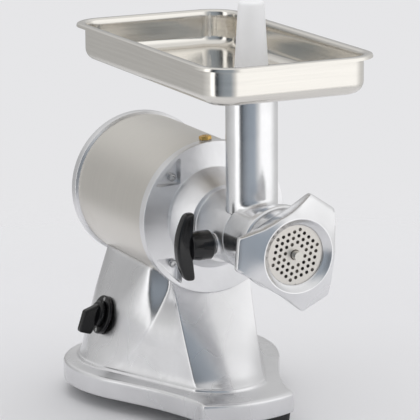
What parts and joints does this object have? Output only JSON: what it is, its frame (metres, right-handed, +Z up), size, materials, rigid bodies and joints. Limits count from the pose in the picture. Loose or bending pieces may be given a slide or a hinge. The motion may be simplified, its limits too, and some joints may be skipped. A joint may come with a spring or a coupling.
{
  "type": "electric meat grinder",
  "caption": "Bench electric meat grinder: drum motor on a cast pedestal, tee-shaped grinding head with lobed ring nut, feed tube with steel tray and pusher.",
  "frame": {"origin": "on the surface it stands on, under the middle of its outline seen from above", "axes": "+Z up, -Y towards the hole plate, the machine's front, +X to the right of someone facing the plate"},
  "size_m": [0.26, 0.4328, 0.4935],
  "materials": {
    "cast_aluminium": "polished casting",
    "gear_housing": "as cast",
    "shell_steel": "satin",
    "tray_steel": "polished sheet",
    "plate_steel": "ground",
    "auger_metal": "tumbled casting",
    "screw_steel": "zinc plated",
    "machined_steel": "machined",
    "laminations": "plain",
    "copper": "varnished wire",
    "brass": "turned",
    "rubber": "matt",
    "black_plastic": "moulded",
    "white_plastic": "moulded",
    "capacitor_can": "moulded"
  },
  "bodies": {
    "chassis": {"base_casting": "cast_aluminium", "base_cover": "screw_steel", "foot_1": "rubber", "foot_2": "rubber", "foot_3": "rubber", "foot_4": "rubber", "foot_screws": "screw_steel", "seat_bolts": "screw_steel", "motor_shell": "shell_steel", "front_cover": "cast_aluminium", "front_screw_1": "screw_steel", "front_screw_2": "screw_steel", "front_screw_3": "screw_steel", "front_screw_4": "screw_steel", "rear_cover": "cast_aluminium", "tie_rods": "screw_steel", "gear_plate": "gear_housing", "oil_plug": "brass", "oil_washer": "rubber", "stator_core": "laminations", "winding_front": "copper", "winding_rear": "copper", "rotor_bearing_front": "machined_steel", "rotor_bearing_rear": "machined_steel", "lay_bearing_front": "machined_steel", "lay_bearing_rear": "machined_steel", "output_bearing_front": "machined_steel", "output_bearing_rear": "machined_steel", "oil_seal": "rubber", "switch_plate": "black_plastic", "switch_screws": "screw_steel", "switch_body": "black_plastic", "cord_gland": "black_plastic", "capacitor": "capacitor_can", "terminal_block": "black_plastic"},
    "rotor": {"rotor_core": "laminations", "rotor_shaft": "machined_steel", "rotor_pinion": "machined_steel", "fan": "black_plastic"},
    "lay_gear": {"layshaft": "machined_steel", "lay_wheel": "machined_steel", "lay_pinion": "machined_steel"},
    "output_drive": {"output_shaft": "machined_steel", "output_wheel": "machined_steel"},
    "head": {"head_casting": "cast_aluminium", "plate_key": "plate_steel", "thrust_washer": "white_plastic"},
    "feed_screw": {"auger": "auger_metal", "auger_pin": "plate_steel", "knife": "plate_steel"},
    "plate": {"hole_plate": "plate_steel"},
    "nut": {"ring_nut": "cast_aluminium"},
    "lock_carrier": {"lock_washer": "screw_steel"},
    "lock_screw": {"lock_stud": "screw_steel", "lock_knob": "black_plastic"},
    "switch": {"switch_knob": "black_plastic"},
    "meat_tray": {"tray": "tray_steel"},
    "stomper": {"pusher": "white_plastic"}
  },
  "joints": [
    {"name": "rotor_spin", "type": "hinge", "parent": "chassis", "child": "rotor", "pos_m": [0, 0.1274, 0.232], "axis": [0, 1, 0], "continuous": true},
    {"name": "lay_spin", "type": "hinge", "parent": "chassis", "child": "lay_gear", "pos_m": [0, 0.0404, 0.187], "axis": [0, 1, 0], "continuous": true},
    {"name": "output_spin", "type": "hinge", "parent": "chassis", "child": "output_drive", "pos_m": [0, -0.0126, 0.232], "axis": [0, 1, 0], "continuous": true},
    {"name": "head_slide", "type": "slide", "parent": "chassis", "child": "head", "axis": [0, -1, 0], "range_m": [0, 0.055]},
    {"name": "auger_spin", "type": "hinge", "parent": "head", "child": "feed_screw", "pos_m": [0, -0.1026, 0.232], "axis": [0, 1, 0], "continuous": true},
    {"name": "plate_slide", "type": "slide", "parent": "head", "child": "plate", "axis": [0, -1, 0], "range_m": [0, 0.009]},
    {"name": "nut_turn", "type": "hinge", "parent": "plate", "child": "nut", "pos_m": [0, -0.1976, 0.232], "axis": [0, -1, 0], "range_deg": [0, 1080]},
    {"name": "lock_slide", "type": "slide", "parent": "chassis", "child": "lock_carrier", "axis": [-1, 0, 0], "range_m": [0, 0.0045]},
    {"name": "lock_turn", "type": "hinge", "parent": "lock_carrier", "child": "lock_screw", "pos_m": [-0.06, -0.0886, 0.223], "axis": [-1, 0, 0], "range_deg": [0, 1080]},
    {"name": "switch_turn", "type": "hinge", "parent": "chassis", "child": "switch", "pos_m": [-0.0946, 0.1074, 0.10054], "axis": [-0.9511, 0, 0.3088], "range_deg": [0, 90]},
    {"name": "tray_lift", "type": "slide", "parent": "head", "child": "meat_tray", "axis": [0, 0, 1], "range_m": [0, 0.06]},
    {"name": "pusher_lift", "type": "slide", "parent": "meat_tray", "child": "stomper", "axis": [0, 0, 1], "range_m": [0, 0.12]}
  ],
  "couplings": [
    {"joint": "lay_spin", "follows": "rotor_spin", "ratio": -0.36364},
    {"joint": "output_spin", "follows": "rotor_spin", "ratio": 0.13223},
    {"joint": "auger_spin", "follows": "rotor_spin", "ratio": 0.13223},
    {"joint": "plate_slide", "follows": "nut_turn", "m_per_rad": 0.00047746},
    {"joint": "lock_slide", "follows": "lock_turn", "m_per_rad": 0.00023873}
  ]
}
